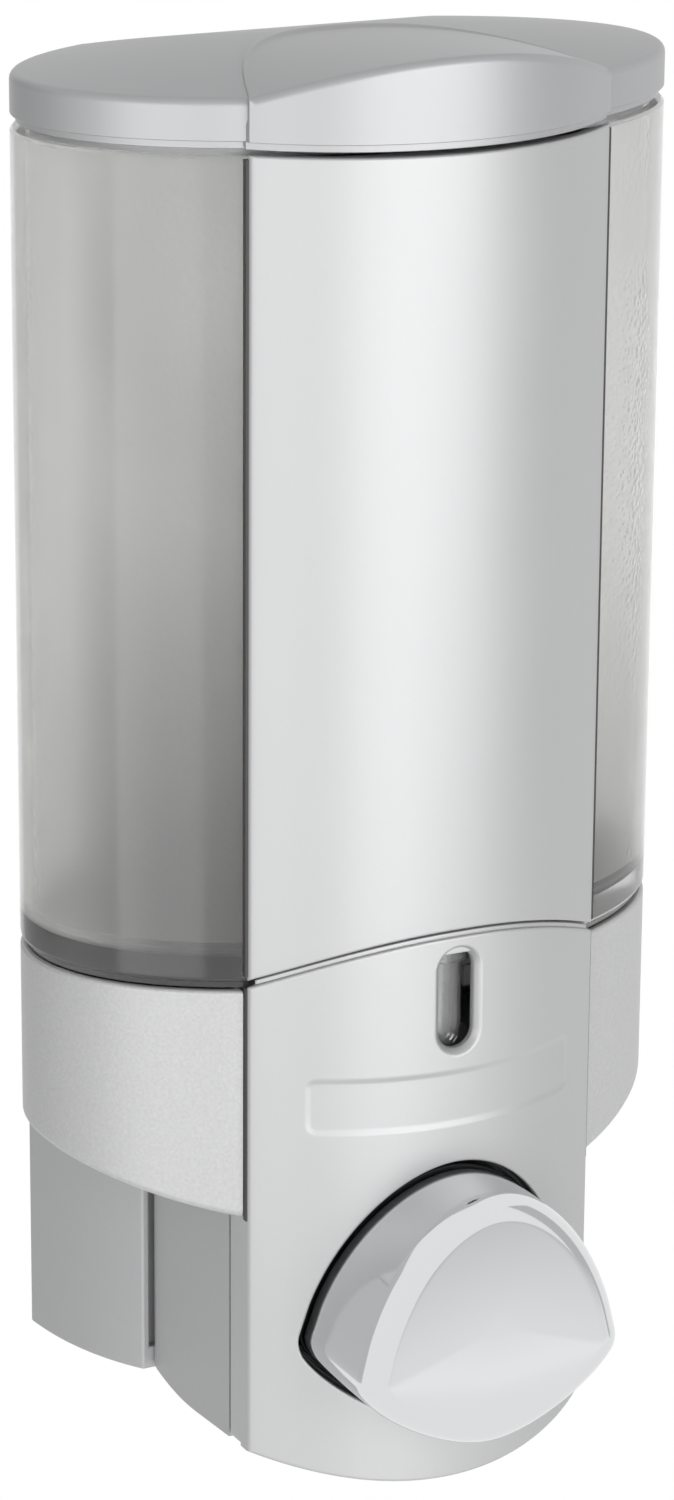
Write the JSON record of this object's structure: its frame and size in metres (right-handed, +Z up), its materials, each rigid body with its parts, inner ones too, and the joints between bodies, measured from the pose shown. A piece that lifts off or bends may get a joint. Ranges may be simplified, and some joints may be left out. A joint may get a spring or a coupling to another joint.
{
  "type": "shower dispenser",
  "caption": "Wall-hung shower dispenser: oval frosted bottle in a satin silver case, hinged lid with a leaf-shaped crown, and a chromed shield-shaped push button.",
  "frame": {"origin": "on the wall plane, at the middle of the bracket's upper adhesive pad", "axes": "+Y points into the wall, +Z is up and runs along the bottle, X runs across the front"},
  "size_m": [0.0982, 0.0787, 0.208],
  "materials": {
    "bracket_silver": "fine satin silver moulded plastic, slightly darker than the covers",
    "foam_tape": "matt foam adhesive tape",
    "frosted_bottle": "smooth outside, fine pebbled frost inside, clear edges",
    "steel": "plain bright wire and screw steel",
    "clear_tube": "clear and polished",
    "skirt_silver": "light satin silver with a fine speckle",
    "cover_silver": "satin silver paint on moulded plastic",
    "black_rubber": "matt black rubber",
    "white_plastic": "natural moulded plastic",
    "grey_plastic": "grey moulded plastic",
    "white_rubber": "translucent silicone rubber",
    "chrome": "mirror chrome plate with rounded edges",
    "lid_silver": "satin silver paint, a little cooler than the covers"
  },
  "bodies": {
    "bracket": {"wall_bracket": "bracket_silver", "upper_tape_pad": "foam_tape", "lower_tape_pad": "foam_tape"},
    "dispenser": {"reservoir": "frosted_bottle", "lid_hinge_pin": "steel", "sight_tube": "clear_tube", "base_skirt": "skirt_silver", "upper_front_cover": "cover_silver", "lower_front_panel": "cover_silver", "button_seal": "black_rubber", "pump_housing": "bracket_silver", "panel_screw_1": "steel", "panel_screw_2": "steel", "panel_screw_3": "steel", "panel_screw_4": "steel", "deck_screw_1": "steel", "deck_screw_2": "steel", "pump_barrel": "white_plastic", "barrel_cap": "grey_plastic", "coupling_nut": "grey_plastic", "inlet_gasket": "black_rubber", "inlet_valve": "white_rubber", "outlet_valve": "white_rubber", "outlet_nozzle": "grey_plastic"},
    "button": {"push_button": "chrome", "plunger_rod": "white_plastic", "piston": "white_plastic", "piston_seal": "black_rubber", "return_spring": "steel"},
    "lid": {"lid": "lid_silver"}
  },
  "joints": [
    {"name": "body_lift", "type": "slide", "parent": "bracket", "child": "dispenser", "axis": [0, 0, 1], "range_m": [0, 0.04]},
    {"name": "button_push", "type": "slide", "parent": "dispenser", "child": "button", "axis": [0, 1, 0], "range_m": [0, 0.011], "stiffness_N_per_m": 450, "springref_m": -0.006, "deforming": ["return_spring"]},
    {"name": "lid_hinge", "type": "hinge", "parent": "dispenser", "child": "lid", "pos_m": [0, -0.0058, 0.0823], "axis": [-1, 0, 0], "range_deg": [0, 75]}
  ]
}
